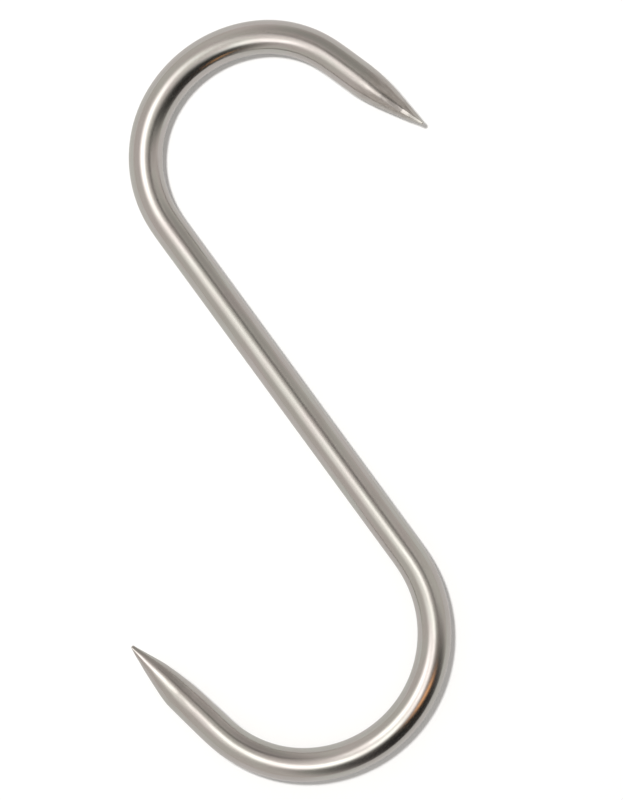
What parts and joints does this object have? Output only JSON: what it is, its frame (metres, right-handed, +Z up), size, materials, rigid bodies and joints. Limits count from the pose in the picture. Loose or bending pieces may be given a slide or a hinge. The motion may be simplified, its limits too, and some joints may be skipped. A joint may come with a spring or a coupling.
{
  "type": "s hook",
  "caption": "Flat S bent from one round steel bar: a straight leaning shank, a wide open bend at each end and both tips ground to a point.",
  "frame": {"origin": "on the ground under the middle of the hook's outline", "axes": "the hook lies flat: +Y along its length towards the upper bend, +X to the side that the upper point faces, +Z up out of the plane of the S"},
  "size_m": [0.0782, 0.18, 0.008],
  "materials": {
    "steel": "bright drawn stainless bar, satin with a soft shine and faint lines along the bar; the points are ground and finely scratched"
  },
  "bodies": {
    "root": {"hook": "steel"}
  },
  "joints": []
}
